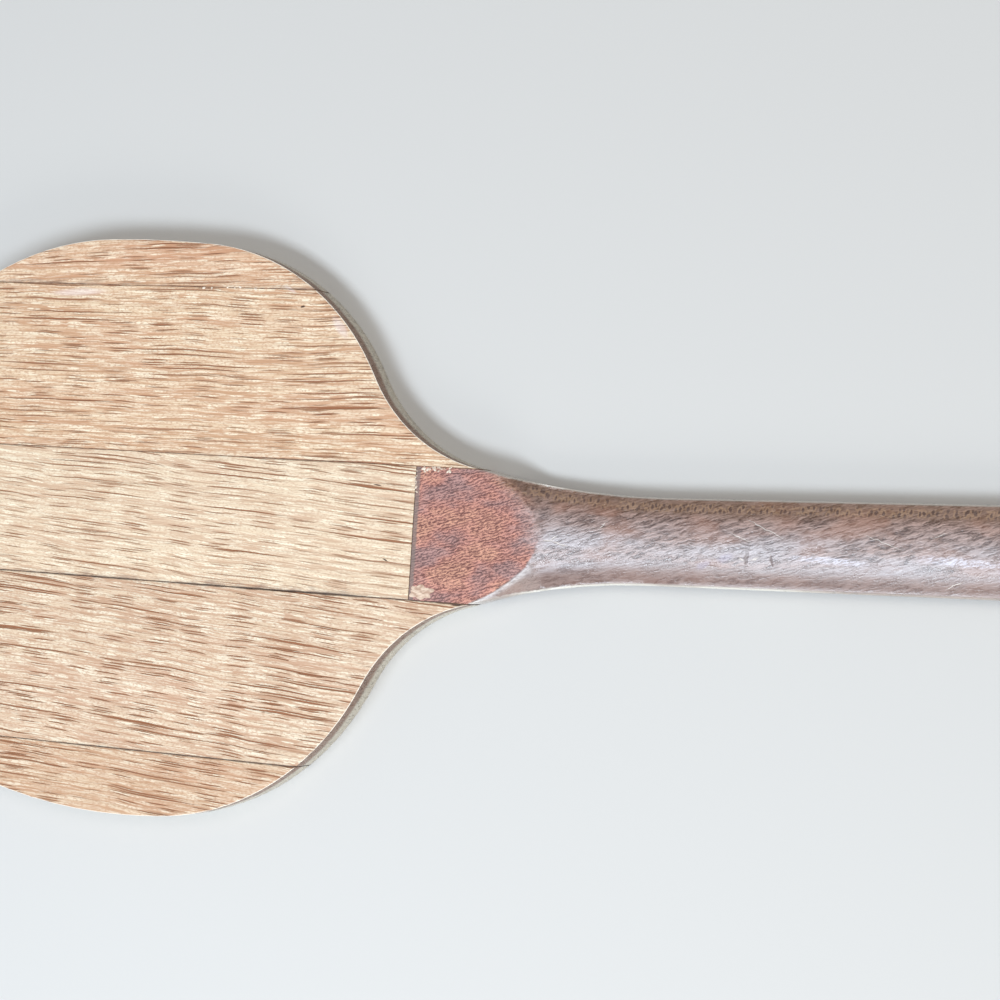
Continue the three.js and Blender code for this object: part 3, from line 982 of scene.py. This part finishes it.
def make_glue_line(node, direction, name, material):
    """A sheet of glue on the side of a strip that faces direction."""
    work = copy_of_node(node)
    work.normal_update()
    side = reach_of(node, direction)[1]
    doomed = [
        face for face in work.faces
        if face.calc_center_median().dot(direction) < side - GLUE_GAP / 3
    ]
    bmesh.ops.delete(work, geom=doomed, context="FACES")
    middle = sum((vert.co for vert in work.verts), Vector()) / len(work.verts)
    length_wise = direction.cross(UP)
    for vert in work.verts:
        offset = vert.co - middle
        vert.co -= length_wise * offset.dot(length_wise) * (1 - GLUE_SHRINK[0])
        vert.co.z -= (vert.co.z - MIDDLE_Z) * (1 - GLUE_SHRINK[1])
    extruded = bmesh.ops.extrude_face_region(work, geom=work.faces[:])
    for item in extruded["geom"]:
        if isinstance(item, bmesh.types.BMVert):
            item.co += direction * GLUE_GAP
    piece = object_from(work, name, material)


def make_beads(name, row, size, material, seed):
    """Dried beads of squeezed-out glue, each an uneven flattened drop."""
    pick = random.Random(seed)
    work = bmesh.new()
    start, end, count, stray = row
    for index in range(count):
        x, y = Vector(start).lerp(Vector(end), (index + pick.random()) / count)
        x += pick.uniform(-stray, stray)
        y += pick.uniform(-stray, stray)
        width = size * pick.uniform(*BEAD_WIDTHS)
        length = width * pick.uniform(*BEAD_LENGTHS)
        drop = bmesh.ops.create_icosphere(work, subdivisions=3, radius=1)
        turn = Matrix.Rotation(pick.uniform(0, math.pi), 3, "Z")
        for vert in drop["verts"]:
            swell = 1 + BEAD_SWELL * noise.noise(vert.co * 1.7 + Vector((x, y, seed)))
            shape = Vector((vert.co.x * length, vert.co.y * width, vert.co.z * BEAD_HEIGHT))
            vert.co = Vector((x, y, FACE_Z / MM)) * MM + turn @ shape * swell * MM
    piece = object_from(work, name, material, BEAD_SMOOTH_ANGLE)


def make_filler(name, middle, size, material, seed):
    """A thin crumbly patch of filler pressed over a corner of the joint."""
    work = bmesh.new()
    bmesh.ops.create_circle(work, segments=48, radius=1, cap_ends=True)
    bmesh.ops.poke(work, faces=work.faces)
    bmesh.ops.subdivide_edges(work, edges=work.edges[:], cuts=7, use_grid_fill=True)
    rim = Vector(middle).to_3d()
    for vert in work.verts:
        spot = vert.co * 2.2 + Vector((seed, 0, 0))
        reach = 1 + 0.6 * noise.noise(vert.co.normalized() * 1.6 + Vector((seed, 0, 0)))
        dome = max(0, 1 - vert.co.length_squared)
        crumbs = 0.6 + 0.8 * noise.noise(spot * 2.5)
        offset = Vector((vert.co.x * size[0], vert.co.y * size[1], 0)) * reach
        vert.co = (rim + offset) * MM
        vert.co.z = FACE_Z + FILLER_HEIGHT * (dome * crumbs) + FILLER_LIFT
    sheet = bmesh.ops.extrude_face_region(work, geom=work.faces[:])
    for item in sheet["geom"]:
        if isinstance(item, bmesh.types.BMVert):
            item.co.z = FACE_Z - FILLER_SINK
    piece = object_from(work, name, material, FILLER_SMOOTH_ANGLE)


def make_glue():
    old_glue = glue_material("old_glue", *OLD_GLUE)
    brown_glue = glue_material("brown_glue", *BROWN_GLUE)
    # each line is made from the strip on its outer side
    make_glue_line("strip_outer_upper", -ACROSS, "glue_line_1", brown_glue)
    make_glue_line("strip_inner_upper", -ACROSS, "glue_line_2", brown_glue)
    make_glue_line("strip_inner_lower", ACROSS, "glue_line_3", old_glue)
    make_glue_line("strip_outer_lower", ACROSS, "glue_line_4", old_glue)
    make_glue_line("strip_centre", ALONG, "glue_line_butt", old_glue)
    clear_glue = glue_material("clear_glue", *CLEAR_GLUE)
    make_beads("glue_beads_joint", JOINT_BEADS, 0.3, clear_glue, 1)
    make_beads("glue_beads_tongue", TOP_BEADS, 0.36, clear_glue, 2)
    make_beads("glue_beads_seam", SEAM_BEADS, 0.4, clear_glue, 3)
    filler = glue_material("filler", *FILLER)
    make_filler("joint_filler", *FILLER_PATCH, filler, 4)


# ---------------------------------------------------------------- dowels

BEECH_DARK = srgb(196, 158, 118)
BEECH_PALE = srgb(226, 196, 158)
BEECH_FLECK = srgb(168, 124, 88)
BEECH_GRAIN_SIZE = (16, 0.7, 0.7)
BEECH_FLECK_SIZE = (3, 0.5, 0.5)
BEECH_BUMP = 0.05


def beech_material():
    g = Graph("beech")
    here = g.position()
    grain = g.noise(here, BEECH_GRAIN_SIZE, 3)
    fleck = g.dashes(here, BEECH_FLECK_SIZE, 0.4)
    colour = g.mix(g.band(grain, 0.35, 0.65), BEECH_DARK, BEECH_PALE)
    colour = g.mix(g.times(fleck, 0.5), colour, BEECH_FLECK)
    return g.finish(colour, g.band(grain, 0.3, 0.7, 0.5, 0.65), grain, BEECH_BUMP)


def dress_dowels(material):
    """Gives the CAD dowels their look; their shape is already the real one."""
    for node in ("dowel_upper", "dowel_lower"):
        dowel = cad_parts[node]
        if not dowel.material_slots:
            dowel.data.materials.append(material)
        for slot in dowel.material_slots:
            slot.link = "OBJECT"
            slot.material = material


# ---------------------------------------------------------------- making

make_camera()
make_studio()
make_floor()
make_head()
make_handle(mahogany_material())
make_glue()
dress_dowels(beech_material())
